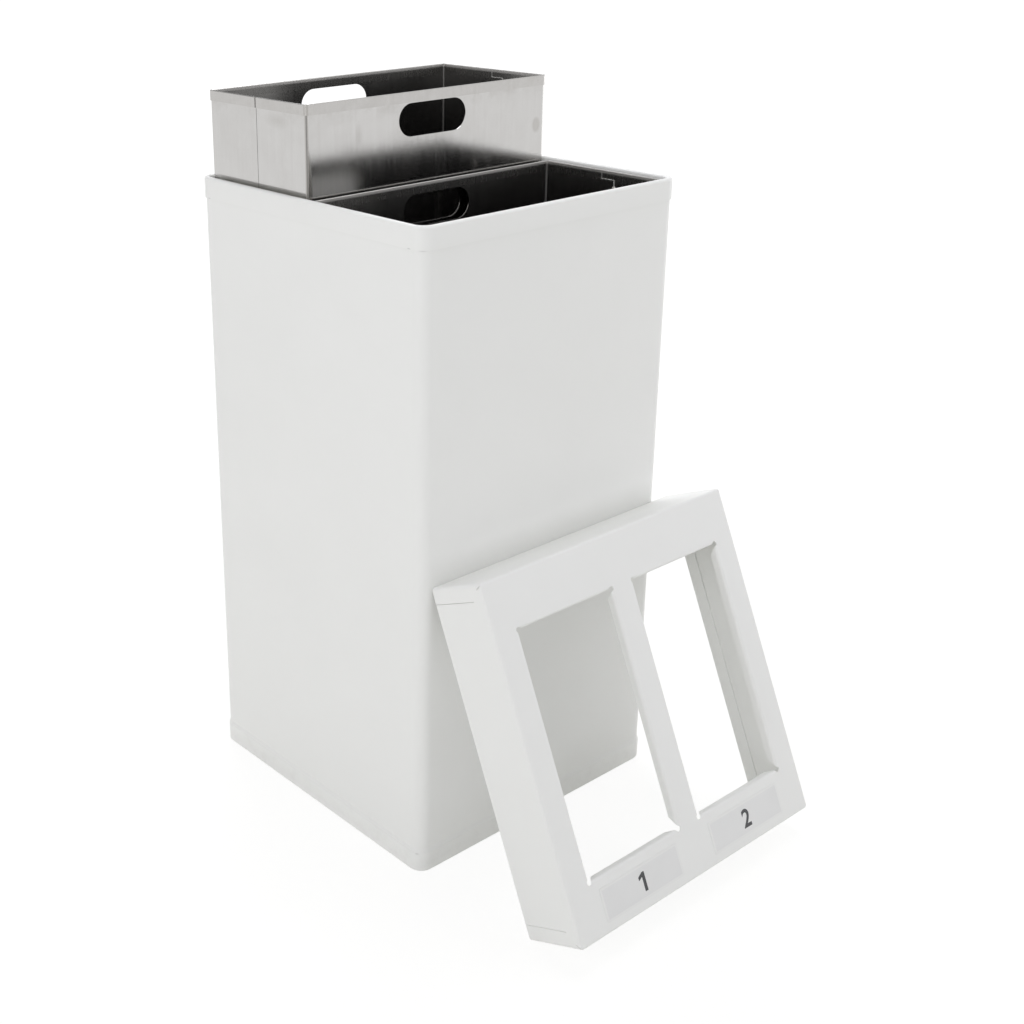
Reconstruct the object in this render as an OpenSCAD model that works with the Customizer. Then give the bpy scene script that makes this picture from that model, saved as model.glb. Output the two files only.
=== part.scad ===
// Double recycling bin: a square steel casing, two lift-out liners, and a lid that leans on its front.
// The casing stands on z = 0 with its centre line on the z axis. Its front looks along -y.

/* [Casing] */
// Width of the casing's wall
casing_w = 394; // [320:1:460]
// Depth of the casing's wall, front to back
casing_d = 394; // [320:1:460]
// Height of the casing, floor to rim
casing_h = 770; // [550:1:900]
// Outer radius of the casing's upright corners
casing_r = 16; // [12:1:30]
// Thickness of the casing's sheet
casing_sheet = 1; // [0.8:0.1:1.5]
// Width of the strip that backs the casing's rear seam
seam_lap = 18; // [12:1:30]
// Distance of the strip's ends from the base panel and the rim
seam_end = 3; // [1:0.5:10]
// Width of the butt joints in the casing and its bands
joint_slit = 0.5; // [0.3:0.1:1]

/* [Bands] */
// Thickness of the sheet of the rim and the foot band
band_sheet = 1.3; // [0.8:0.1:1.5]
// Gap between a band and the casing's wall
band_gap = 0.3; // [0.2:0.05:0.5]
// Outer radius of the bands' bends
band_bend = 3; // [2:0.25:4]
// Height of the rim's outer leg
rim_h = 25; // [18:1:40]
// Width of the rim's top
rim_top = 7.2; // [6.4:0.2:9]
// Height of the rim's inner leg
rim_lip = 12; // [8:1:16]
// Height of the foot band
foot_h = 26; // [18:1:40]
// Width of the foot band's web
foot_web = 14; // [10:1:30]

/* [Base panel] */
// Thickness of the casing's base panel
base_sheet = 1; // [0.8:0.1:2]
// Height of the base panel's flange
base_flange = 15; // [10:1:25]
// Outer radius of the bend between the panel and its flange
base_bend = 2.5; // [2:0.25:4]
// Gap between the flange and the casing's wall
base_gap = 0.3; // [0.2:0.05:0.6]

/* [Liners] */
// Gap between a liner's hem and the rim
liner_gap = 4.5; // [2:0.5:8]
// Gap between the hems of the two liners
liner_split = 4.8; // [2:0.2:8]
// How far a seated liner's top lies below the rim's
liner_drop = 3.7; // [1:0.1:8]
// Gap under a seated liner
seat_gap = 0.3; // [0.1:0.05:0.5]
// How far the rear liner is lifted
liner_raise = 104; // [0:1:200]
// Thickness of the liners' sheet
liner_sheet = 0.8; // [0.6:0.1:1.2]
// Outer radius of a liner's upright corners
liner_r = 3; // [2:0.5:6]
// Height of the folded hem
hem_h = 12; // [8:1:13]
// How far the hem stands out from the wall
hem_proud = 1.2; // [0.8:0.1:2]
// Width of the open joint between the hems of the two halves
hem_slit = 2; // [0.5:0.25:4]
// Gap between the two halves at their joint
half_gap = 0.6; // [0.2:0.1:1]
// Width of the tab that laps the joint on the inside
lap_w = 20; // [12:1:30]
// Length of the slope that sets the tab inwards
lap_slope = 6; // [3:1:10]
// Drop of the tab's upper end below the liner's top
lap_drop = 10; // [8:1:30]
// Distance of the tab's lower end from the pan
lap_foot = 3; // [1:0.5:10]
// Height of the liner's bottom pan
pan_flange = 15; // [10:1:25]
// Outer radius of the pan's bend
pan_bend = 2; // [1.5:0.25:3]
// Gap between the pan and the liner's wall
pan_gap = 0.2; // [0.1:0.05:0.4]

/* [Hand slots] */
// Length of a hand slot, end to end
slot_w = 104; // [80:1:130]
// Height of a hand slot
slot_h = 38; // [25:1:45]
// Drop of a hand slot's upper edge below the liner's top
slot_drop = 13; // [13:1:40]

/* [Lid] */
// Gap between the lid's walls and the rim when the lid is on
lid_gap = 1.2; // [0.5:0.1:3]
// Thickness of the lid's sheet
lid_sheet = 1.2; // [0.8:0.1:1.5]
// Height of the lid's walls
lid_depth = 81; // [50:1:120]
// Outer radius between two walls of the lid
lid_r = 4.5; // [4:0.5:12]
// Outer radius of the bend between the face and the walls
lid_bend = 3.25; // [2:0.25:3.75]
// Distance of the walls' seams from the corners
tab_w = 19; // [12:1:30]
// Length of a seam, from the wall's free edge
tab_seam = 64; // [20:1:75]
// Width of a seam
tab_slit = 0.6; // [0.2:0.1:1]
// Length of the slit between a corner and the face's bend
corner_run = 7; // [4:0.5:9]
// Width of that slit
corner_slit = 0.8; // [0.4:0.1:1.2]
// Lean of the lid from upright
lid_lean = 24; // [15:1:35]
// Shift of the leaning lid to the right
lid_shift = 19; // [-40:1:60]
// Gap between the leaning lid and the casing
lean_gap = 0.3; // [0.1:0.05:0.5]

/* [Lid openings] */
// Width of the face beside the openings
side_margin = 35; // [25:1:60]
// Width of the face above and below the openings
end_margin = 61; // [45:1:90]
// Width of the bar between the openings
bar_w = 36; // [26:1:60]
// Depth of the flanges round the openings
flange_d = 10.5; // [6:0.5:15]
// Outer radius of the flanges' bends
flange_bend = 3.4; // [1.6:0.1:4]
// Distance of a flange's end from the opening's corner
flange_relief = 2; // [1:0.5:5]

/* [Label plates] */
// Width of a label plate
label_w = 128; // [80:1:140]
// Height of a label plate
label_h = 38; // [20:1:42]
// Thickness of a label plate
label_sheet = 0.4; // [0.2:0.1:1]
// Corner radius of a label plate
label_r = 2; // [1:0.5:5]
// Height of a label plate's centre above the face's lower edge
label_rise = 30; // [24:1:34]

/* [Hidden] */
$fn = 48;

// How far a cut reaches past the face that it goes through
cut = 1;

// Place of a corner slit's middle, in from the corner both ways, and its turn
corner_in = 4.6;
corner_turn = 32;

// Bands, measured outwards from the casing's wall
band_proud = band_gap + band_sheet;
rim_in = rim_top - band_proud;

// Clear size inside the rim, and the liners that fill it
rim_clear_w = casing_w - 2 * rim_in;
rim_clear_d = casing_d - 2 * rim_in;
liner_w = rim_clear_w - 2 * liner_gap - 2 * hem_proud;
liner_d = (rim_clear_d - 2 * liner_gap - liner_split) / 2 - 2 * hem_proud;
liner_y = (liner_split + 2 * hem_proud + liner_d) / 2;
liner_floor = band_sheet + base_sheet + seat_gap;
liner_h = casing_h - liner_drop - liner_floor;

// The lid slips over the rim, so the rim sets its size
lid_w = casing_w + 2 * (band_proud + lid_gap + lid_sheet);
lid_h = casing_d + 2 * (band_proud + lid_gap + lid_sheet);
opening_w = (lid_w - 2 * side_margin - bar_w) / 2;
opening_h = lid_h - 2 * end_margin;
opening_x = (bar_w + opening_w) / 2;
lid_foot_y = -casing_d / 2 - lean_gap - lid_h * sin(lid_lean);

// A rectangle with round corners, centred
module rounded(w, d, r) {
    square([w - 2 * r, d], center = true);
    square([w, d - 2 * r], center = true);
    for (x = [-1, 1], y = [-1, 1])
        translate([x * (w / 2 - r), y * (d / 2 - r)]) circle(r = r);
}

// A profile carried round a w by d outline with corner radius r: x runs outwards from the outline, y upwards
module carried(w, d, r) {
    half = [w / 2 - r, d / 2 - r];
    for (i = [0 : 3]) {
        out = half[i % 2];
        run = half[1 - i % 2];
        rotate([0, 0, 90 * i]) {
            translate([out + r, 0, 0]) rotate([90, 0, 0])
                linear_extrude(height = 2 * run, center = true) children();
            translate([out, run, 0])
                rotate_extrude(angle = 90) translate([r, 0]) children();
        }
    }
}

// A rectangle from x0 to x1 and y0 to y1 with its two upper corners round
module round_top(x0, x1, y0, y1, r) {
    translate([x0, y0]) square([x1 - x0, y1 - y0 - r]);
    translate([x0 + r, y0]) square([x1 - x0 - 2 * r, y1 - y0]);
    for (x = [x0 + r, x1 - r]) translate([x, y1 - r]) circle(r = r);
}

// The bend of a sheet from upright, at x = 0, to level, at y = 0: outer radius r, inside towards -x and +y
module bend(r, sheet) {
    intersection() {
        translate([-r, r]) difference() {
            circle(r = r);
            circle(r = r - sheet);
        }
        translate([-r, 0]) square([r, r]);
    }
}

// The wall of a box without floor or lid
module wall(w, d, r, h, sheet) {
    linear_extrude(height = h) difference() {
        rounded(w, d, r);
        rounded(w - 2 * sheet, d - 2 * sheet, r - sheet);
    }
}

// An open tray, floor down, with its outer size w by d by h: the plate overlaps the strip beside the bend
module tray(w, d, r, h, sheet, bend_r) {
    plate_in = (r + bend_r) / 2;
    strip = (r + plate_in) / 2;
    carried(w, d, r) {
        bend(bend_r, sheet);
        translate([-sheet, bend_r]) square([sheet, h - bend_r]);
        translate([-strip, 0]) square([strip - bend_r, sheet]);
    }
    linear_extrude(height = sheet) rounded(w - 2 * plate_in, d - 2 * plate_in, r - plate_in);
}

// The open joint of a band of height h, at the middle of the back
module band_joint(h) {
    translate([-joint_slit / 2, casing_d / 2 - foot_web - rim_top, -cut])
        cube([joint_slit, foot_web + rim_top + 2 * band_proud, h + 2 * cut]);
}

module casing_wrap() {
    low = band_bend;
    high = casing_h - band_bend;
    strip_low = band_sheet + base_flange + seam_end;
    strip_high = casing_h - rim_lip - seam_end;
    back = casing_d / 2;
    color("whitesmoke") difference() {
        union() {
            translate([0, 0, low]) wall(casing_w, casing_d, casing_r, high - low, casing_sheet);
            // The strip behind the joint, welded half a sheet deep into the wall
            translate([-seam_lap / 2, back - 2 * casing_sheet, strip_low])
                cube([seam_lap, 1.5 * casing_sheet, strip_high - strip_low]);
        }
        translate([-joint_slit / 2, back - casing_sheet, low - cut])
            cube([joint_slit, casing_sheet + cut, high - low + 2 * cut]);
    }
}

module rim_profile() {
    difference() {
        round_top(-rim_in, band_proud, casing_h - rim_h, casing_h, band_bend);
        round_top(-rim_in + band_sheet, band_gap, casing_h - rim_h - cut, casing_h - band_sheet,
                  band_bend - band_sheet);
        translate([-rim_in - cut, casing_h - rim_h - cut])
            square([band_sheet + cut, rim_h - rim_lip + cut]);
    }
}

module top_rim() {
    color("white") difference() {
        carried(casing_w, casing_d, casing_r) rim_profile();
        translate([0, 0, casing_h - rim_h]) band_joint(rim_h);
    }
}

module foot_profile() {
    translate([band_proud, 0]) bend(band_bend, band_sheet);
    translate([band_gap, band_bend]) square([band_sheet, foot_h - band_bend]);
    translate([band_proud - foot_web, 0]) square([foot_web - band_bend, band_sheet]);
}

module foot_band() {
    color("white") difference() {
        carried(casing_w, casing_d, casing_r) foot_profile();
        band_joint(foot_h);
    }
}

module base_panel() {
    inset = 2 * (casing_sheet + base_gap);
    color("gainsboro") translate([0, 0, band_sheet])
        tray(casing_w - inset, casing_d - inset, casing_r - inset / 2, base_flange, base_sheet, base_bend);
}

// A liner's folded top edge, rounded over the fold
module hem_profile() {
    fold_r = (liner_sheet + hem_proud) / 2;
    translate([-liner_sheet, liner_h - hem_h]) square([2 * fold_r, hem_h - fold_r]);
    translate([hem_proud - fold_r, liner_h - fold_r]) circle(r = fold_r);
}

module hand_slot() {
    run = slot_w - slot_h;
    rotate([90, 0, 0]) linear_extrude(height = 2 * liner_d, center = true) {
        square([run, slot_h], center = true);
        for (x = [-1, 1]) translate([x * run / 2, 0]) circle(r = slot_h / 2);
    }
}

// The two walls and the hem of a liner, before it is parted into halves
module liner_walls() {
    difference() {
        union() {
            wall(liner_w, liner_d, liner_r, liner_h - hem_h / 2, liner_sheet);
            carried(liner_w, liner_d, liner_r) hem_profile();
        }
        translate([0, 0, liner_h - slot_drop - slot_h / 2]) hand_slot();
    }
}

// One half of a liner: side is 1 for the half towards +y and -1 for the other
module liner_half(side) {
    edge = half_gap / 2;
    reach = liner_d / 2 + hem_proud + cut - edge;
    difference() {
        intersection() {
            liner_walls();
            translate([-liner_w, side > 0 ? edge : -edge - reach, -cut])
                cube([2 * liner_w, reach, liner_h + 2 * cut]);
        }
        for (x = [-1, 1])
            translate([x * (liner_w / 2 + hem_proud), 0, liner_h - hem_h / 2 - liner_sheet])
                cube([2 * hem_proud, hem_slit, hem_h], center = true);
    }
}

// The tabs at both ends that reach past the joint behind the other half
module lap_tabs() {
    low = pan_flange + lap_foot;
    face = liner_w / 2 - liner_sheet;
    root = face + liner_sheet / 2;
    inner = face - liner_sheet;
    for (x = [0, 1]) mirror([x, 0, 0])
        translate([0, 0, low]) linear_extrude(height = liner_h - lap_drop - low)
            polygon([[root, lap_slope + half_gap], [face, lap_slope + half_gap], [inner, half_gap],
                     [inner, -lap_w], [face, -lap_w], [face, half_gap], [root, half_gap]]);
}

module liner_pan() {
    inset = 2 * (liner_sheet + pan_gap);
    tray(liner_w - inset, liner_d - inset, liner_r - inset / 2 + pan_bend, pan_flange, liner_sheet, pan_bend);
}

module back_half() {
    liner_half(1);
    lap_tabs();
}

module front_half() {
    liner_half(-1);
}

module in_rear() {
    translate([0, liner_y, liner_floor + liner_raise]) children();
}

module in_front() {
    translate([0, -liner_y, liner_floor]) children();
}

module rear_liner_back_half() {
    color("silver") in_rear() back_half();
}

module rear_liner_front_half() {
    color("silver") in_rear() front_half();
}

module rear_liner_pan() {
    color("darkgray") in_rear() liner_pan();
}

module front_liner_back_half() {
    color("silver") in_front() back_half();
}

module front_liner_front_half() {
    color("silver") in_front() front_half();
}

module front_liner_pan() {
    color("darkgray") in_front() liner_pan();
}

// The lid's own frame: x across, y up its face from the lower edge, z from the walls' free edge to the face
module leaning() {
    translate([lid_shift, lid_foot_y, 0]) rotate([90 - lid_lean, 0, 0]) children();
}

// One flange of an opening: its bend line runs along x, the opening lies towards +y, its root is in the face
module opening_flange(run) {
    root = flange_bend + lid_sheet;
    half = run / 2 - flange_relief;
    intersection() {
        rotate([90, 0, 90]) linear_extrude(height = run, center = true) {
            translate([0, lid_depth]) mirror([0, 1]) bend(flange_bend, lid_sheet);
            translate([-lid_sheet, lid_depth - flange_d]) square([lid_sheet, flange_d - flange_bend]);
            translate([-root, lid_depth - lid_sheet]) square([root - flange_bend, lid_sheet]);
        }
        rotate([90, 0, 0]) linear_extrude(height = 4 * root, center = true)
            polygon([[-half, lid_depth], [half, lid_depth],
                     [half - flange_d, lid_depth - flange_d], [flange_d - half, lid_depth - flange_d]]);
    }
}

module opening_flanges() {
    for (i = [0 : 3]) {
        out = (i % 2 == 0 ? opening_h : opening_w) / 2;
        rotate([0, 0, 90 * i]) translate([0, -out, 0]) opening_flange(i % 2 == 0 ? opening_w : opening_h);
    }
}

module lid_shell() {
    color("white") leaning() {
        difference() {
            translate([0, lid_h / 2, lid_depth]) mirror([0, 0, 1])
                tray(lid_w, lid_h, lid_r, lid_depth, lid_sheet, lid_bend);
            for (x = [-1, 1]) translate([x * opening_x, lid_h / 2, 0])
                linear_extrude(height = lid_depth + cut)
                    rounded(opening_w + 2 * flange_bend, opening_h + 2 * flange_bend, flange_bend);
            for (x = [-1, 1], y = [tab_w, lid_h - tab_w])
                translate([x * lid_w / 2, y, 0])
                    cube([3 * lid_sheet, tab_slit, 2 * tab_seam], center = true);
            for (x = [-1, 1], end = [0, 1])
                translate([x * lid_w / 2, end * lid_h, lid_depth]) mirror([0, end, 0])
                    translate([0, corner_in, -corner_in]) rotate([corner_turn, 0, 0])
                        cube([2 * lid_r, corner_slit, corner_run], center = true);
        }
        for (x = [-1, 1]) translate([x * opening_x, lid_h / 2, 0]) opening_flanges();
    }
}

module label_plate(side) {
    color("lightgray") leaning() translate([side * opening_x, label_rise, lid_depth])
        linear_extrude(height = label_sheet) rounded(label_w, label_h, label_r);
}

module label_plate_left() {
    label_plate(-1);
}

module label_plate_right() {
    label_plate(1);
}

casing_wrap();
top_rim();
foot_band();
base_panel();
rear_liner_back_half();
rear_liner_front_half();
rear_liner_pan();
front_liner_back_half();
front_liner_front_half();
front_liner_pan();
lid_shell();
label_plate_left();
label_plate_right();
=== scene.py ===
# Double recycling bin, opened: white steel casing, two zinc liners, lid leaning on the front
from math import cos, radians, sin

import bmesh
import bpy
from mathutils import Matrix, Vector


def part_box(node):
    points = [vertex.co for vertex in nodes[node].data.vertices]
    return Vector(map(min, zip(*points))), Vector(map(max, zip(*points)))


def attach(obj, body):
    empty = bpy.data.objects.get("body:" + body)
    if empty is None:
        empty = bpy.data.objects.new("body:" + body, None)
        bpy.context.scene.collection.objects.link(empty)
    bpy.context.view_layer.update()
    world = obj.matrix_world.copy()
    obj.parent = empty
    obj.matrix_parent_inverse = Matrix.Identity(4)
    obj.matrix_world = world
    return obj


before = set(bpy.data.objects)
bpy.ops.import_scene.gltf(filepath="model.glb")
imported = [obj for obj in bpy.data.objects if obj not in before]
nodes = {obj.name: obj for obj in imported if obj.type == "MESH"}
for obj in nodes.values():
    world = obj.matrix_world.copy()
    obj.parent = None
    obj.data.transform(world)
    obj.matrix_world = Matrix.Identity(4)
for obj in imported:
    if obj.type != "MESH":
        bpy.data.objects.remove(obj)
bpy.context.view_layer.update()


# Node helpers, so each finish below stays short

def startMaterial(name):
    material = bpy.data.materials.new(name)
    material.use_nodes = True
    tree = material.node_tree
    tree.nodes.clear()
    output = tree.nodes.new("ShaderNodeOutputMaterial")
    return material, tree, output


def addNode(tree, kind, values=None, **settings):
    node = tree.nodes.new(kind)
    for key, value in settings.items():
        setattr(node, key, value)
    for key, value in (values or {}).items():
        if isinstance(value, bpy.types.NodeSocket):
            tree.links.new(value, node.inputs[key])
        else:
            node.inputs[key].default_value = value
    return node


def finishSurface(tree, output, values):
    shader = addNode(tree, "ShaderNodeBsdfPrincipled", values)
    tree.links.new(shader.outputs["BSDF"], output.inputs["Surface"])


def objectPoint(tree, scale=(1, 1, 1), place=(0, 0, 0), turn=(0, 0, 0)):
    # Object coordinates with a pattern's own centre, turn and stretch
    where = addNode(tree, "ShaderNodeTexCoord").outputs["Object"]
    values = {"Vector": where, "Location": place, "Rotation": turn, "Scale": scale}
    return addNode(tree, "ShaderNodeMapping", values, vector_type="POINT").outputs["Vector"]


def splitPoint(tree, point):
    return addNode(tree, "ShaderNodeSeparateXYZ", {"Vector": point}).outputs


def noise(tree, vector, scale, detail, rough, shift=0.0):
    # Detail is the number of finer layers, rough their strength, and shift picks the pattern
    values = {"Vector": vector, "W": shift, "Scale": scale, "Detail": detail, "Roughness": rough}
    return addNode(tree, "ShaderNodeTexNoise", values, noise_dimensions="4D").outputs["Fac"]


mostNoise = (0.3, 0.7)         # the span in which most values of a noise lie


def ramp(tree, factor, low, high, toLow=0.0, toHigh=1.0):
    values = {"Value": factor, "From Min": low, "From Max": high, "To Min": toLow, "To Max": toHigh}
    return addNode(tree, "ShaderNodeMapRange", values, clamp=True).outputs["Result"]


def blendColour(tree, factor, first, second):
    # The node's colours are its sockets 6 and 7, and the blend is its output 2
    values = {0: factor}
    for index, colour in ((6, first), (7, second)):
        values[index] = colour if isinstance(colour, bpy.types.NodeSocket) else (*colour, 1.0)
    return addNode(tree, "ShaderNodeMix", values, data_type="RGBA").outputs[2]


def maths(tree, operation, first, second=0.0):
    return addNode(tree, "ShaderNodeMath", {0: first, 1: second}, operation=operation).outputs[0]


def times(tree, first, second):
    return maths(tree, "MULTIPLY", first, second)


def more(tree, first, second):
    return maths(tree, "MAXIMUM", first, second)


def distanceFrom(tree, coordinate, centre):
    return maths(tree, "ABSOLUTE", maths(tree, "SUBTRACT", coordinate, centre))


def bump(tree, height, strength, distance, below=None):
    values = {"Height": height, "Strength": strength, "Distance": distance}
    if below is not None:
        values["Normal"] = below
    return addNode(tree, "ShaderNodeBump", values).outputs["Normal"]


def ovalSpot(tree, spot):
    # One in the spot's core and none beyond its rim
    scale = [1.0 / size for size in spot["size"]]
    place = [-at * s for at, s in zip(spot["at"], scale)]
    point = objectPoint(tree, scale, place)
    far = addNode(tree, "ShaderNodeVectorMath", {0: point}, operation="LENGTH").outputs["Value"]
    return ramp(tree, far, spot["core"], 1.0, 1.0, 0.0)


# White powder coat: an even white with faint clouds, the fine skin of powder, and a little dust low down

powder = {
    "white": (0.868, 0.872, 0.846),
    "cloud": (0.854, 0.858, 0.832),
    "dust": (0.740, 0.732, 0.705),
    # colour of the painted shade, in the corner spots and below the rim
    "mark": (0.330, 0.328, 0.315),
    "cloudScale": 7.0,         # clouds per metre
    "cloudRange": (0.35, 0.70),
    "skinScale": 820.0,        # bumps of the powder's skin per metre
    "skinDepth": 0.00006,
    "waveScale": 5.0,          # slow waves of a large sheet
    "waveDepth": 0.0011,
    "relief": 0.5,             # strength of skin and waves
    "dustTop": 0.045,          # height above the floor up to which dust lies
    "speckScale": 60.0,
    "speckRange": (0.48, 0.75),
    "sheenScale": 35.0,        # patches that differ a little in roughness
    "roughness": (0.40, 0.50),
    "ior": 1.45,
    "underRim": (0.0055, 0.0004),  # below the rim's lower edge, where the painted shade under the rim begins and is full
    "underRimShade": 0.03,
}
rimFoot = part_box("top_rim")[0].z


def powderCoat(name, shift, waves=1.0, dusty=0.35, marks=(), rimShade=0.0):
    material, tree, output = startMaterial(name)
    point = objectPoint(tree)
    height = splitPoint(tree, point)["Z"]
    clouds = ramp(tree, noise(tree, point, powder["cloudScale"], 4.0, 0.6, shift), *powder["cloudRange"])
    colour = blendColour(tree, clouds, powder["white"], powder["cloud"])
    # Painted shade: small dark spots at the bands' corners
    for mark in marks:
        colour = blendColour(tree, times(tree, ovalSpot(tree, mark), mark["depth"]), colour, powder["mark"])
    low = ramp(tree, height, 0.0, powder["dustTop"], 1.0, 0.0)
    specks = noise(tree, point, powder["speckScale"], 5.0, 0.7, shift + 3.0)
    dust = times(tree, times(tree, low, ramp(tree, specks, *powder["speckRange"])), dusty)
    colour = blendColour(tree, dust, colour, powder["dust"])
    # Painted shade: the wall is painted a little darker just below the rim's lower edge, where the rim stands
    # proud
    if rimShade:
        shade = ramp(tree, height, *[rimFoot - down for down in powder["underRim"]], 0.0, rimShade)
        colour = blendColour(tree, shade, colour, powder["mark"])
    sheen = noise(tree, point, powder["sheenScale"], 4.0, 0.6, shift + 7.0)
    slow = noise(tree, point, powder["waveScale"], 1.0, 0.4, shift + 11.0)
    skin = noise(tree, point, powder["skinScale"], 2.0, 0.5, shift)
    waved = bump(tree, slow, powder["relief"] * waves, powder["waveDepth"])
    finishSurface(tree, output, {
        "Base Color": colour,
        "Roughness": ramp(tree, sheen, *mostNoise, *powder["roughness"]),
        "Normal": bump(tree, skin, powder["relief"], powder["skinDepth"], waved),
        "IOR": powder["ior"],
    })
    return material


# Galvanised sheet: warm grey zinc, rolled nearly to a mirror, with upright streaks and handled hems

zinc = {
    "light": (0.553, 0.545, 0.536),
    "dark": (0.536, 0.527, 0.517),
    "stain": (0.380, 0.366, 0.345),
    # colour of the painted shade inside the liners and on the ends' top edge
    "shadeTone": (0.128, 0.125, 0.120),
    "streakScale": 260.0,      # streaks per metre, across the sheet
    "streakStretch": 0.03,     # width of a streak over its length
    "streakDepth": 0.00001,
    "streakRelief": 0.15,
    "blotchScale": 14.0,
    "blotchRange": (0.45, 0.75),
    "blotchStain": 0.22,
    "handled": 0.38,           # how stained the hem is
    "handledSpread": (0.65, 1.25),  # least and most of that, from spot to spot
    "handledScale": 55.0,
    "hemStep": 0.0006,         # height over which the hem's stain begins
    "underHem": 0.018,         # height of the smudged strip below the hem
    "fingerScale": 32.0,       # smudges per metre in that strip
    "fingerRange": (0.40, 0.66),
    "fingerStain": 0.42,
    "bendStain": 0.75,         # the worked metal of the upright bends
    "bendRoughness": 0.06,
    "bendSpan": (1.1, 0.7),    # in bend radii from the faces, where it begins and is full
    "roughness": (0.09, 0.14),
    "glossRange": (0.25, 0.75),
    "stainRoughness": 0.12,    # how much rougher a full stain is
    "grain": 0.55,             # stretch of its gloss, upright
    "grainTurn": 0.25,
    "insideShading": 0.76,           # how far the painted shade darkens the inside towards its colour
    "insideRoughness": 0.11,   # and how much rougher it is
    "insideSpan": (0.7, 0.4),  # in sheets from the outer faces, where it is full and ends
    "lip": 0.0045,             # height of the strip inside the upper edge that the painted shade leaves out
    "lipFade": 0.6,            # part of that height above which it is clean
    "lipRoughness": 0.20,
    "edge": (0.0007, 0.0004),  # below the top, where the painted shade on the ends' folded top edge begins and is full
    "edgeSpan": (3.0, 2.0),    # and the same in sheets from the ends
    "edgeShade": 0.85,
}


liner = {
    "bend": 0.003,
    "hem": 0.012,
    "hemProud": 0.0012,            # how far the hem stands off the wall
    "sheet": 0.0008,
    "lap": 0.020,                  # width of the tab behind the joint
    "lapDrop": 0.010,              # from the liner's top to the tab
    "lapFoot": 0.018,              # from the liner's bottom to the tab's lower end
}


def measureLiner(body):
    # Its middle in y, half the width and depth over its walls, and its lower and upper ends
    low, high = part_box(f"{body}_front_half")[0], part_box(f"{body}_back_half")[1]
    half = [(far - near) / 2 - liner["hemProud"] for near, far in zip(low.xy, high.xy)]
    return {"middle": (low.y + high.y) / 2, "half": half, "low": low.z, "top": high.z}


liners = {body: measureLiner(body) for body in ("rear_liner", "front_liner")}


def wallMask(tree, parts, place, start, end, toLow=0.0, toHigh=1.0):
    # Changes from start to end, both counted inwards from the outer faces of a liner's walls
    mask = 1.0
    for axis, half, centre in (("X", place["half"][0], 0.0), ("Y", place["half"][1], place["middle"])):
        away = distanceFrom(tree, parts[axis], centre)
        mask = times(tree, ramp(tree, away, half - start, half - end, toLow, toHigh), mask)
    return mask


def zincStains(tree, point, height, top, shift):
    # Blotches all over, smudges under the hem and a handled hem
    fold = top - liner["hem"]
    blotches = noise(tree, point, zinc["blotchScale"], 5.0, 0.65, shift + 5.0)
    fingers = noise(tree, point, zinc["fingerScale"], 4.0, 0.7, shift + 9.0)
    rubs = noise(tree, point, zinc["handledScale"], 4.0, 0.65, shift + 2.5)
    hem = ramp(tree, height, fold - zinc["hemStep"], fold)
    below = ramp(tree, height, fold - zinc["underHem"], fold)
    smudges = times(tree, below, ramp(tree, fingers, *zinc["fingerRange"]))
    handled = [part * zinc["handled"] for part in zinc["handledSpread"]]
    stained = more(tree, times(tree, ramp(tree, blotches, *zinc["blotchRange"]), zinc["blotchStain"]),
                   times(tree, smudges, zinc["fingerStain"]))
    return more(tree, stained, times(tree, hem, ramp(tree, rubs, *mostNoise, *handled)))


def galvanised(name, shift, place, spots=()):
    material, tree, output = startMaterial(name)
    point = objectPoint(tree)
    parts = splitPoint(tree, point)
    height, top = parts["Z"], place["top"]
    long = objectPoint(tree, (1, 1, zinc["streakStretch"]))
    streaks = noise(tree, long, zinc["streakScale"], 3.0, 0.6, shift)
    bends = wallMask(tree, parts, place, *[part * liner["bend"] for part in zinc["bendSpan"]])
    stained = zincStains(tree, point, height, top, shift)
    stained = more(tree, stained, times(tree, bends, zinc["bendStain"]))
    for spot in spots:
        stained = more(tree, stained, times(tree, ovalSpot(tree, spot), spot["depth"]))
    colour = blendColour(tree, ramp(tree, streaks, *mostNoise), zinc["light"], zinc["dark"])
    colour = blendColour(tree, stained, colour, zinc["stain"])

    # The inside is duller, and painted darker as painted shade, apart from a lip along the upper edge
    inside = wallMask(tree, parts, place, *[part * liner["sheet"] for part in zinc["insideSpan"]], 1.0, 0.0)
    clean = ramp(tree, height, top - zinc["lip"], top - zinc["lipFade"] * zinc["lip"])
    lip = times(tree, inside, clean)
    insideShade = times(tree, maths(tree, "SUBTRACT", inside, lip), zinc["insideShading"])
    # Painted shade also darkens the ends' folded top edge
    endSpan = [place["half"][0] - part * liner["sheet"] for part in zinc["edgeSpan"]]
    ends = ramp(tree, distanceFrom(tree, parts["X"], 0.0), *endSpan)
    edge = ramp(tree, height, *[top - down for down in zinc["edge"]], 0.0, zinc["edgeShade"])
    colour = blendColour(tree, more(tree, insideShade, times(tree, ends, edge)), colour, zinc["shadeTone"])

    rough = ramp(tree, streaks, *zinc["glossRange"], *zinc["roughness"])
    for mask, key in ((stained, "stainRoughness"), (bends, "bendRoughness"), (inside, "insideRoughness"),
                      (lip, "lipRoughness")):
        rough = maths(tree, "ADD", rough, times(tree, mask, zinc[key]))
    finishSurface(tree, output, {
        "Base Color": colour,
        "Roughness": rough,
        "Normal": bump(tree, streaks, zinc["streakRelief"], zinc["streakDepth"]),
        "Metallic": 1.0,
        "Tangent": addNode(tree, "ShaderNodeTangent", direction_type="RADIAL", axis="Z").outputs["Tangent"],
        "Anisotropic": zinc["grain"],
        "Anisotropic Rotation": zinc["grainTurn"],
    })
    return material


# The leaning lid's own frame: x across, y up its face from the lower edge, z from its free edge to the face

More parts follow.
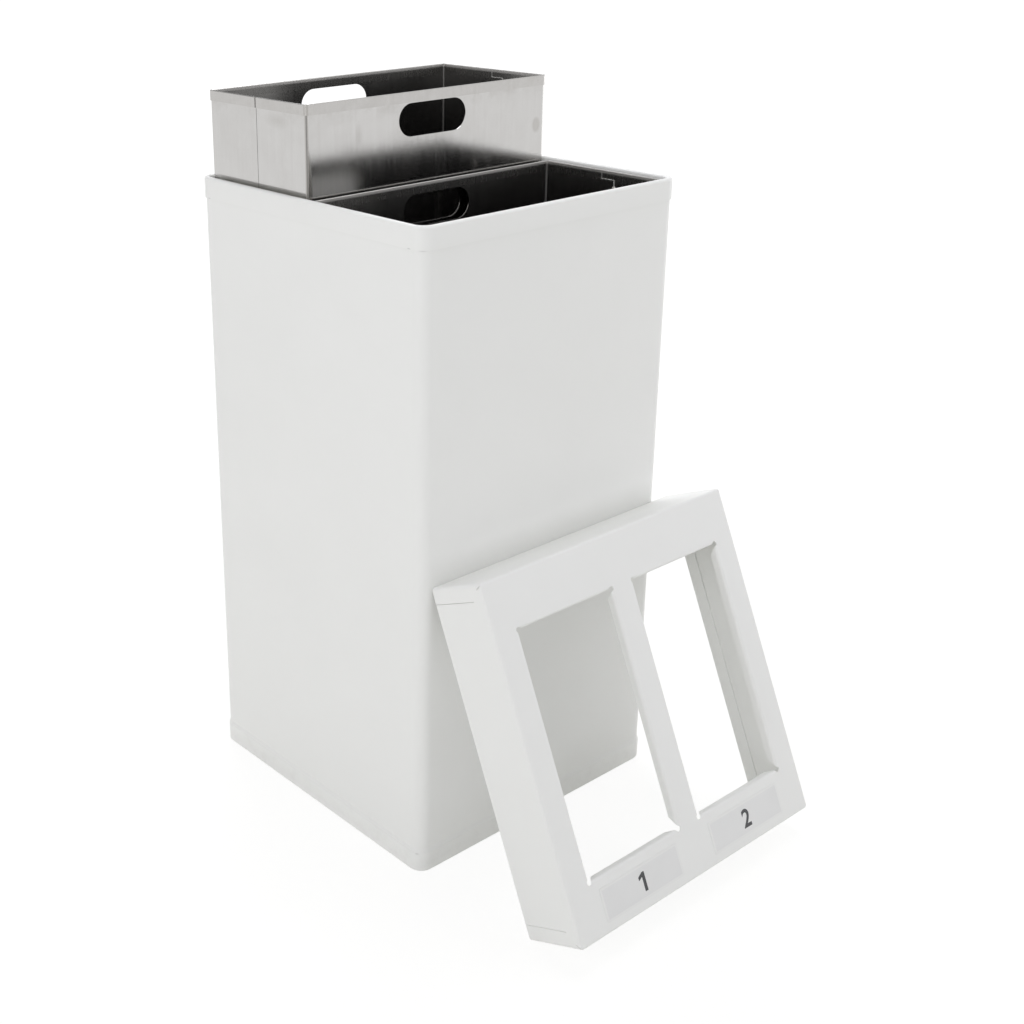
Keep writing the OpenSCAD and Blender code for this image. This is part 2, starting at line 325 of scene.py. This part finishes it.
lid = {
    "lean": 24.0,
    "depth": 0.081,
    "sheet": 0.0012,
    "corner": 0.0045,
    "tab": 0.019,              # distance of the side walls' seams from the corners
    "hem": 0.017,              # height of the folded edge inside the walls
    "hemSheet": 0.0011,
    "hemCut": 0.004,           # how far a hem's ends are cut back
    "hemSlack": (0.002, 0.004),    # room at each end of a side hem, and of an upper or lower one
    "hemGap": 0.00002,         # between hem and wall
    "hemRise": 0.0002,         # above the walls' free edge
    "foldRound": (0.48, 5),    # the hem's folded edge: radius over the sheet, and faces
    "freeRound": (0.12, 2),    # and its free edge
}
lidLow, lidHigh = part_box("lid_shell")
lidSide = lidHigh.x - lidLow.x
lidFoot = ((lidLow.x + lidHigh.x) / 2, lidHigh.y - lidSide * sin(radians(lid["lean"])), lidLow.z)
onLid = Matrix.Translation(lidFoot) @ Matrix.Rotation(radians(90 - lid["lean"]), 4, "X")


# Label film: a thin frosted grey foil with a paler margin

film = {
    "grey": (0.786, 0.788, 0.772),
    "pale": (0.806, 0.808, 0.792),
    "margin": (0.840, 0.844, 0.820),
    "marginWidth": 0.0028,
    "marginSoft": 0.0002,      # half the width of its blurred line
    "half": (0.064, 0.019),    # half a plate's width and height
    "places": {"left": -0.092, "right": 0.092},
    "rise": 0.030,             # height of a plate's middle on the lid's face
    "thick": 0.0004,
    "cloudScale": 22.0,
    "cloudRange": (0.35, 0.65),
    "grain": 260.0,            # frosting, in grains per metre
    "grainDepth": 0.00002,
    "grainRelief": 0.15,
    "roughness": (0.28, 0.36),
    "ior": 1.49,
}


def labelFilm(name, across, shift):
    material, tree, output = startMaterial(name)
    point = objectPoint(tree)
    clouds = ramp(tree, noise(tree, point, film["cloudScale"], 3.0, 0.5, shift), *film["cloudRange"])
    colour = blendColour(tree, clouds, film["grey"], film["pale"])
    back = onLid.inverted()
    parts = splitPoint(tree, objectPoint(tree, (1, 1, 1), back.to_translation(), back.to_euler()))
    margin = 0.0
    for axis, centre, half in (("X", across, film["half"][0]), ("Y", film["rise"], film["half"][1])):
        away = distanceFrom(tree, parts[axis], centre)
        line = half - film["marginWidth"]
        margin = more(tree, ramp(tree, away, line - film["marginSoft"], line + film["marginSoft"]), margin)
    colour = blendColour(tree, margin, colour, film["margin"])
    grain = noise(tree, point, film["grain"], 2.0, 0.5, shift)
    finishSurface(tree, output, {
        "Base Color": colour,
        "Roughness": ramp(tree, grain, *mostNoise, *film["roughness"]),
        "Normal": bump(tree, grain, film["grainRelief"], film["grainDepth"]),
        "IOR": film["ior"],
    })
    return material


# The finish of each solid

def dress(node, material):
    mesh = nodes[node].data
    mesh.materials.clear()
    mesh.materials.append(material)


def cornerMarks(at, size, depth):
    # Small dark spots painted as shade of the relief notches and gaps where a band's corners were joined
    return [{"at": (x * at[0], y * at[1], at[2]), "size": size, "depth": depth, "core": 0.1}
            for x in (-1, 1) for y in (-1, 1)]


rimMarks = cornerMarks(at=(0.1986, 0.1780, 0.7452), size=(0.0030, 0.0036, 0.0013), depth=0.45)
footMarks = cornerMarks(at=(0.1958, 0.1902, 0.0245), size=(0.0030, 0.0030, 0.0014), depth=0.40)
wrapMarks = cornerMarks(at=(0.1922, 0.1922, 0.7444), size=(0.0060, 0.0060, 0.0012), depth=0.30)

dress("casing_wrap", powderCoat("casingCoat", 0.0, marks=wrapMarks, rimShade=powder["underRimShade"]))
dress("top_rim", powderCoat("rimCoat", 2.0, waves=0.3, marks=rimMarks))
dress("foot_band", powderCoat("footCoat", 4.0, waves=0.3, dusty=0.6, marks=footMarks))
dress("base_panel", powderCoat("baseCoat", 6.0))
dress("lid_shell", powderCoat("lidCoat", 8.0, waves=0.7, dusty=0.2))

# Three places that hands have rubbed, and the darker strip beside the rear liner's front left bend
rubbed = (
    {"at": (0.172, 0.0036, 0.811), "size": (0.0080, 0.0200, 0.0110), "depth": 0.50, "core": 0.6},
    {"at": (-0.112, 0.0036, 0.829), "size": (0.0070, 0.0200, 0.0170), "depth": 0.26, "core": 0.2},
    {"at": (-0.1857, 0.055, 0.848), "size": (0.0200, 0.0300, 0.0110), "depth": 0.36, "core": 0.1},
    {"at": (-0.1857, 0.0036, 0.767), "size": (0.0080, 0.0034, 0.0620), "depth": 0.95, "core": 0.75},
)
for side, (body, place) in enumerate(liners.items()):
    for number, part in enumerate(("back_half", "front_half", "pan")):
        spots = rubbed if (body, part) == ("rear_liner", "front_half") else ()
        shift = number * 3.0 + side * 10.0
        dress(f"{body}_{part}", galvanised(f"{body}_{part}_zinc", shift, place, spots))
for number, (place, across) in enumerate(film["places"].items()):
    dress(f"label_plate_{place}", labelFilm(f"{place}Film", across, number * 5.0))
print("finishes done")


# Pieces too small for the frame: each is made with its place in its mesh, then dressed and hung on its body

sharpFrom = radians(60)        # an edge that turns further than this stays sharp on a smooth piece


def finishPiece(shape, name, body, material, smooth=False):
    bmesh.ops.recalc_face_normals(shape, faces=shape.faces)
    for edge in shape.edges:
        edge.smooth = edge.calc_face_angle(0.0) < sharpFrom
    mesh = bpy.data.meshes.new(name)
    shape.to_mesh(mesh)
    shape.free()
    if smooth:
        mesh.polygons.foreach_set("use_smooth", [True] * len(mesh.polygons))
    piece = bpy.data.objects.new(name, mesh)
    bpy.context.scene.collection.objects.link(piece)
    mesh.materials.append(material)
    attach(piece, body)


def shapeOf(data):
    # The mesh that a text or curve makes, as a shape to work on
    drawn = bpy.data.objects.new(data.name, data)
    bpy.context.scene.collection.objects.link(drawn)
    bpy.context.view_layer.update()
    flat = bpy.data.meshes.new_from_object(drawn.evaluated_get(bpy.context.evaluated_depsgraph_get()))
    bpy.data.objects.remove(drawn)
    shape = bmesh.new()
    shape.from_mesh(flat)
    bpy.data.meshes.remove(flat)
    return shape


# Inside the lid the walls' free edges are folded back; the strips' ends are cut back at the corners

def lidHem(name, turn, middle, run):
    shape = bmesh.new()
    thick, high, back = lid["hemSheet"], lid["hem"], lid["hemCut"]
    corners = [shape.verts.new((-run / 2, y, z)) for y, z in ((0, 0), (thick, 0), (thick, high), (0, high))]
    section = shape.faces.new(corners)
    drawn = bmesh.ops.extrude_face_region(shape, geom=[section])["geom"]
    far = [part for part in drawn if isinstance(part, bmesh.types.BMVert)]
    bmesh.ops.translate(shape, vec=(run, 0, 0), verts=far)
    for vert in shape.verts:
        if vert.co.z > high / 2:
            vert.co.x -= back if vert.co.x > 0 else -back
    long = [edge for edge in shape.edges if abs(edge.verts[0].co.x - edge.verts[1].co.x) > run / 2]
    for folded, (radius, segments) in ((True, lid["foldRound"]), (False, lid["freeRound"])):
        picked = [edge for edge in long if edge.is_valid and (edge.verts[0].co.z < high / 2) == folded]
        bmesh.ops.bevel(shape, geom=picked, offset=radius * thick, offset_type="OFFSET", affect="EDGES",
                        segments=segments, profile=0.5, material=-1)
    bmesh.ops.rotate(shape, cent=(0, 0, 0), matrix=Matrix.Rotation(radians(turn), 3, "Z"), verts=shape.verts)
    bmesh.ops.translate(shape, vec=middle, verts=shape.verts)
    bmesh.ops.transform(shape, matrix=onLid, verts=shape.verts)
    finishPiece(shape, name, "lid", lidHemCoat)


lidHemCoat = powderCoat("lidHemCoat", 12.0, waves=0.2, dusty=0.0)
half = lidSide / 2
wallIn = half - lid["sheet"] - lid["hemGap"]
sideRun = lidSide - 2 * lid["tab"] - 2 * lid["hemSlack"][0]
endRun = lidSide - 2 * lid["corner"] - 2 * lid["hemSlack"][1]
hems = (
    ("left", -90, (-wallIn, half), sideRun),
    ("right", 90, (wallIn, half), sideRun),
    ("lower", 0, (0, half - wallIn), endRun),
    ("upper", 180, (0, half + wallIn), endRun),
)
for name, turn, place, run in hems:
    lidHem(f"lid_hem_{name}", turn, (*place, lid["hemRise"]), run)
print("lid hems done")


# Paint fills the step between the foot band and the casing's wall

step = {
    "inWall": 0.00003,         # how deep in the wall's face the paint's upper edge lies
    "inBand": 0.00007,         # and in the band's face its lower edge
    "corner": 0.016,           # of the casing
    "drop": 0.0005,            # from the band's top down to the lower edge
    "rise": 0.0045,            # and up to the upper one
    "sunk": 0.0001,            # how far the paint's back edge lies below its front one
    "turns": 10,               # faces round a corner
}


def roundedSquare(shape, half, corner, height):
    # Adds a square loop with round corners and returns its edges
    known = set(shape.edges)
    made = bmesh.ops.create_grid(shape, x_segments=1, y_segments=1, size=half)["verts"]
    bmesh.ops.translate(shape, vec=(0, 0, height), verts=made)
    bmesh.ops.bevel(shape, geom=made, offset=corner, offset_type="OFFSET", affect="VERTICES",
                    segments=step["turns"], profile=0.5, material=-1)
    bmesh.ops.delete(shape, geom=[face for face in shape.faces if len(face.verts) > 4], context="FACES_ONLY")
    return [edge for edge in shape.edges if edge not in known]


def paintFillet():
    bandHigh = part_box("foot_band")[1]
    wall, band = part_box("casing_wrap")[1].x - step["inWall"], bandHigh.x - step["inBand"]
    low, high = bandHigh.z - step["drop"], bandHigh.z + step["rise"]
    shape = bmesh.new()
    loops = []
    for half, height in ((band, low), (wall, high), (wall, low - step["sunk"])):
        loops.append(roundedSquare(shape, half, step["corner"] + half - wall, height))
    for first, second in ((0, 1), (1, 2), (2, 0)):
        bmesh.ops.bridge_loops(shape, edges=loops[first] + loops[second])
    coat = powderCoat("filletCoat", 14.0, waves=0.0)
    finishPiece(shape, "foot_band_paint_fillet", "casing", coat, smooth=True)


paintFillet()
print("paint fillet done")


# Plain numerals printed on the label plates

numeral = {
    "height": 0.0215,
    "bold": 0.022,             # thickening of the strokes, in the letter's own units
    "turns": 12,               # faces along a curve of the outline
    "merge": 1e-5,
    "ink": (0.050, 0.050, 0.053),
    "worn": (0.085, 0.085, 0.088),
    "wornScale": 900.0,
    "wornRange": (0.45, 0.75),
    "patchScale": 300.0,       # patches that differ in roughness
    "roughness": (0.34, 0.46),
    "ior": 1.5,
    "film": 0.00006,           # thickness of the print
    "one": ((0.34, 0.0), (0.55, 0.0), (0.55, 1.0), (0.39, 1.0), (0.08, 0.83), (0.08, 0.64), (0.34, 0.77)),
}


def printInk(name, shift):
    material, tree, output = startMaterial(name)
    point = objectPoint(tree)
    worn = ramp(tree, noise(tree, point, numeral["wornScale"], 3.0, 0.6, shift), *numeral["wornRange"])
    patches = noise(tree, point, numeral["patchScale"], 2.0, 0.5, shift + 2.0)
    finishSurface(tree, output, {
        "Base Color": blendColour(tree, worn, numeral["ink"], numeral["worn"]),
        "Roughness": ramp(tree, patches, *mostNoise, *numeral["roughness"]),
        "IOR": numeral["ior"],
    })
    return material


def letterShape(text):
    # A numeral's outline as flat faces; the typeface's one is a bare bar, so that one is drawn with a flag
    if text == "1":
        shape = bmesh.new()
        shape.faces.new([shape.verts.new((*corner, 0.0)) for corner in numeral["one"]])
        return shape
    data = bpy.data.curves.new(f"numeral_{text}_text", "FONT")
    data.body = text
    data.offset = numeral["bold"]
    data.resolution_u = numeral["turns"]
    shape = shapeOf(data)
    bmesh.ops.remove_doubles(shape, verts=shape.verts, dist=numeral["merge"])
    return shape


def printNumeral(text, across, shift):
    shape = letterShape(text)
    low = [min(v.co[i] for v in shape.verts) for i in range(2)]
    high = [max(v.co[i] for v in shape.verts) for i in range(2)]
    size = numeral["height"] / (high[1] - low[1])
    bmesh.ops.translate(shape, vec=(-(low[0] + high[0]) / 2, -(low[1] + high[1]) / 2, 0.0), verts=shape.verts)
    bmesh.ops.scale(shape, vec=(size, size, 1.0), verts=shape.verts)
    risen = bmesh.ops.extrude_face_region(shape, geom=shape.faces[:])["geom"]
    lifted = [part for part in risen if isinstance(part, bmesh.types.BMVert)]
    bmesh.ops.translate(shape, vec=(0.0, 0.0, numeral["film"]), verts=lifted)
    top = lid["depth"] + film["thick"]
    bmesh.ops.translate(shape, vec=(across, film["rise"], top), verts=shape.verts)
    bmesh.ops.transform(shape, matrix=onLid, verts=shape.verts)
    finishPiece(shape, f"numeral_{text}", "lid", printInk(f"numeral_{text}_ink", shift))


for number, across in enumerate(film["places"].values()):
    printNumeral(str(number + 1), across, number * 5.0)
print("numerals done")


# Inside the liners the cut edges of the joint and of the tab behind it are rounded, and shine as thin lines

lapEdge = {
    "radius": 0.00034,
    "turns": 2,                # roundness of the line
    "start": 0.0015,           # from the liner's top to the line's upper end
    "stand": 0.0006,           # how far the tab's edges stand off the wall
    "merge": 1e-6,
    "bright": (0.70, 0.695, 0.68),
    "dull": (0.56, 0.555, 0.54),
    "wornScale": 160.0,
    "wornRange": (0.35, 0.65),
    "roughness": (0.38, 0.50),
}


def edgeMetal():
    material, tree, output = startMaterial("edgeMetal")
    point = objectPoint(tree)
    worn = ramp(tree, noise(tree, point, lapEdge["wornScale"], 3.0, 0.6, 2.0), *lapEdge["wornRange"])
    finishSurface(tree, output, {
        "Base Color": blendColour(tree, worn, lapEdge["bright"], lapEdge["dull"]),
        "Roughness": ramp(tree, worn, 0.0, 1.0, *lapEdge["roughness"]),
        "Metallic": 1.0,
    })
    return material


def lapEdges(body, place):
    # One line runs down the joint; another runs along the tab's upper end and down its free edge
    data = bpy.data.curves.new(f"{body}_lap_line", "CURVE")
    data.dimensions = "3D"
    data.bevel_depth = lapEdge["radius"]
    data.bevel_resolution = lapEdge["turns"]
    data.use_fill_caps = True
    wall = place["half"][0] - liner["sheet"]
    face = wall - lapEdge["stand"]
    tabTop, tabFoot = place["top"] - liner["lapDrop"], place["low"] + liner["lapFoot"]
    joint = ((wall, 0.0, place["top"] - lapEdge["start"]), (wall, 0.0, tabTop))
    tab = ((face, 0.0, tabTop), (face, -liner["lap"], tabTop), (face, -liner["lap"], tabFoot))
    for sign in (-1, 1):
        for points in (joint, tab):
            line = data.splines.new("POLY")
            line.points.add(len(points) - 1)
            for knot, (x, y, z) in zip(line.points, points):
                knot.co = (sign * x, place["middle"] + y, z, 1.0)
    shape = shapeOf(data)
    bmesh.ops.remove_doubles(shape, verts=shape.verts, dist=lapEdge["merge"])
    finishPiece(shape, f"{body}_lap_edges", body, brightEdge, smooth=True)


brightEdge = edgeMetal()
for body, place in liners.items():
    lapEdges(body, place)
print("lap edges done")


# Tack welds on the free edges of the lap tabs, inside both liners

weld = {
    "size": (0.0012, 0.0030, 0.0026),
    "faces": (20, 12),         # round a bead and from end to end
    "down": (0.010, 0.190, 0.380, 0.560),      # below the tab's upper end
    "lumps": ((0.10, 7.0, 300.0), (0.06, 11.0, 90.0)),  # height, waves over the bead, shift with place
    "bright": (0.66, 0.655, 0.64),
    "burnt": (0.36, 0.33, 0.29),
    "burnScale": 420.0,
    "burnRange": (0.35, 0.7),
    "rippleScale": 1400.0,
    "ripple": 0.00016,
    "relief": 0.5,
    "roughness": (0.34, 0.5),
}


def weldMetal():
    material, tree, output = startMaterial("weldMetal")
    point = objectPoint(tree)
    ripples = noise(tree, point, weld["rippleScale"], 3.0, 0.6, 1.0)
    burn = ramp(tree, noise(tree, point, weld["burnScale"], 2.0, 0.5, 4.0), *weld["burnRange"])
    finishSurface(tree, output, {
        "Base Color": blendColour(tree, burn, weld["bright"], weld["burnt"]),
        "Roughness": ramp(tree, ripples, *mostNoise, *weld["roughness"]),
        "Normal": bump(tree, ripples, weld["relief"], weld["ripple"]),
        "Metallic": 1.0,
    })
    return material


def weldBead(shape, at):
    # A low, slightly lopsided mound that bridges the tab's edge and the wall
    around, along = weld["faces"]
    (rise, waves, shift), (riseTwo, wavesTwo, shiftTwo) = weld["lumps"]
    bead = bmesh.ops.create_uvsphere(shape, u_segments=around, v_segments=along, radius=1.0)["verts"]
    for vert in bead:
        x, y, z = vert.co
        sway = 1.0 + rise * sin(waves * y + shift * at.z)
        sway += riseTwo * cos(wavesTwo * z + shiftTwo * at.y)
        vert.co = Vector((x * weld["size"][0], y * weld["size"][1], z * weld["size"][2])) * sway
    bmesh.ops.translate(shape, vec=at, verts=bead)


def tackWelds(body, place):
    # The beads sit halfway through the tab's sheet, behind the wall's
    shape = bmesh.new()
    across = place["half"][0] - 1.5 * liner["sheet"]
    tabTop = place["top"] - liner["lapDrop"]
    for sign in (-1, 1):
        for down in weld["down"]:
            weldBead(shape, Vector((sign * across, place["middle"] - liner["lap"], tabTop - down)))
    finishPiece(shape, f"{body}_tack_welds", body, metal, smooth=True)


metal = weldMetal()
for body, place in liners.items():
    tackWelds(body, place)
print("tack welds done")


# Floor and light: a white studio, with the light a little stronger from the left

studio = {
    "floorSize": 30.0,
    "floorDrop": 0.0006,
    "paper": (0.900, 0.900, 0.850),
    "fibreScale": 3.0,
    "fibreShade": 0.995,       # brightness of the paper's darker patches, over the rest
    "floorGlow": (0.80, 1.00),  # share of plain white that the camera sees in the floor, near and far
    "glowZone": (0.80, 1.60),  # metres from the object's middle
    "floorShine": 1.09,
    "horizon": 1.31,
    "zenith": 0.02,
    "skyTint": (0.966, 0.964, 1.0),
    "aim": (0, 0, 0.4),
    "lamps": (
        {"name": "leftPanel", "at": (-2.2, -0.8, 1.6), "size": 1.6, "watts": 12.2},
        {"name": "topPanel", "at": (0.5, -0.25, 2.8), "size": 1.2, "watts": 16.2},
        {"name": "rightPanel", "at": (2.3, -0.7, 0.8), "size": 1.4, "watts": 7.7},
        {"name": "backPanel", "at": (0.8, 1.6, 2.6), "size": 1.4, "watts": 24.0},
    ),
}


def seenDirectly(tree):
    # One for the camera's rays and for what gloss and glass show, none for the rays that light the object
    path = addNode(tree, "ShaderNodeLightPath").outputs
    return more(tree, more(tree, path["Is Camera Ray"], path["Is Glossy Ray"]), path["Is Transmission Ray"])


def buildFloor():
    shape = bmesh.new()
    bmesh.ops.create_grid(shape, x_segments=1, y_segments=1, size=studio["floorSize"] / 2)
    mesh = bpy.data.meshes.new("floor")
    shape.to_mesh(mesh)
    shape.free()
    mesh.transform(Matrix.Translation((0, 0, -studio["floorDrop"])))
    floor = bpy.data.objects.new("floor", mesh)
    bpy.context.scene.collection.objects.link(floor)
    material, tree, output = startMaterial("floorPaper")
    point = objectPoint(tree)
    fibres = ramp(tree, noise(tree, point, studio["fibreScale"], 3.0, 0.5), *mostNoise)
    shaded = [studio["fibreShade"] * part for part in studio["paper"]]
    paper = blendColour(tree, fibres, studio["paper"], shaded)
    matte = addNode(tree, "ShaderNodeBsdfDiffuse", {"Color": paper})
    glow = addNode(tree, "ShaderNodeEmission", {"Color": (1, 1, 1, 1), "Strength": studio["floorShine"]})
    far = addNode(tree, "ShaderNodeVectorMath", {0: point}, operation="LENGTH").outputs["Value"]
    share = times(tree, seenDirectly(tree), ramp(tree, far, *studio["glowZone"], *studio["floorGlow"]))
    mix = addNode(tree, "ShaderNodeMixShader", {0: share, 1: matte.outputs[0], 2: glow.outputs[0]})
    tree.links.new(mix.outputs[0], output.inputs["Surface"])
    mesh.materials.append(material)


def lightStudio():
    world = bpy.data.worlds.new("studio")
    bpy.context.scene.world = world
    world.use_nodes = True
    tree = world.node_tree
    tree.nodes.clear()
    output = addNode(tree, "ShaderNodeOutputWorld")
    dome = ramp(tree, splitPoint(tree, objectPoint(tree))["Z"], 0.0, 1.0, studio["horizon"], studio["zenith"])
    shown = seenDirectly(tree)
    strength = more(tree, times(tree, dome, maths(tree, "SUBTRACT", 1.0, shown)), shown)
    tint = blendColour(tree, shown, studio["skyTint"], (1.0, 1.0, 1.0))
    sky = addNode(tree, "ShaderNodeBackground", {"Color": tint, "Strength": strength})
    tree.links.new(sky.outputs[0], output.inputs["Surface"])
    for lamp in studio["lamps"]:
        light = bpy.data.lights.new(lamp["name"], "AREA")
        light.shape = "DISK"
        light.size = lamp["size"]
        light.energy = lamp["watts"]
        light.color = studio["skyTint"]
        panel = bpy.data.objects.new(lamp["name"], light)
        panel.location = lamp["at"]
        beam = Vector(studio["aim"]) - panel.location
        panel.rotation_euler = beam.to_track_quat("-Z", "Y").to_euler()
        bpy.context.scene.collection.objects.link(panel)


buildFloor()
lightStudio()
print("studio done")


# The photo's viewpoint

view = {
    "lens": 51.557,            # millimetres, as the sensor's width is
    "sensor": 36.0,
    "at": (-1.16300, -1.26332, 1.08574),
    "heading": 51.594,         # degrees from +X towards +Y
    "down": 19.841,
    "roll": 1.042,
    "shift": (0.17677, -0.08928),
}


def placeCamera():
    data = bpy.data.cameras.new("photoView")
    data.lens = view["lens"]
    data.sensor_width = view["sensor"]
    data.shift_x, data.shift_y = view["shift"]
    camera = bpy.data.objects.new("photoView", data)
    turn = Matrix.Rotation(radians(view["heading"] - 90), 4, "Z")
    tilt = Matrix.Rotation(radians(90 - view["down"]), 4, "X")
    roll = Matrix.Rotation(radians(-view["roll"]), 4, "Z")
    camera.matrix_world = Matrix.Translation(view["at"]) @ turn @ tilt @ roll
    bpy.context.scene.collection.objects.link(camera)
    bpy.context.scene.camera = camera


placeCamera()
bpy.context.scene.view_settings.view_transform = "Standard"
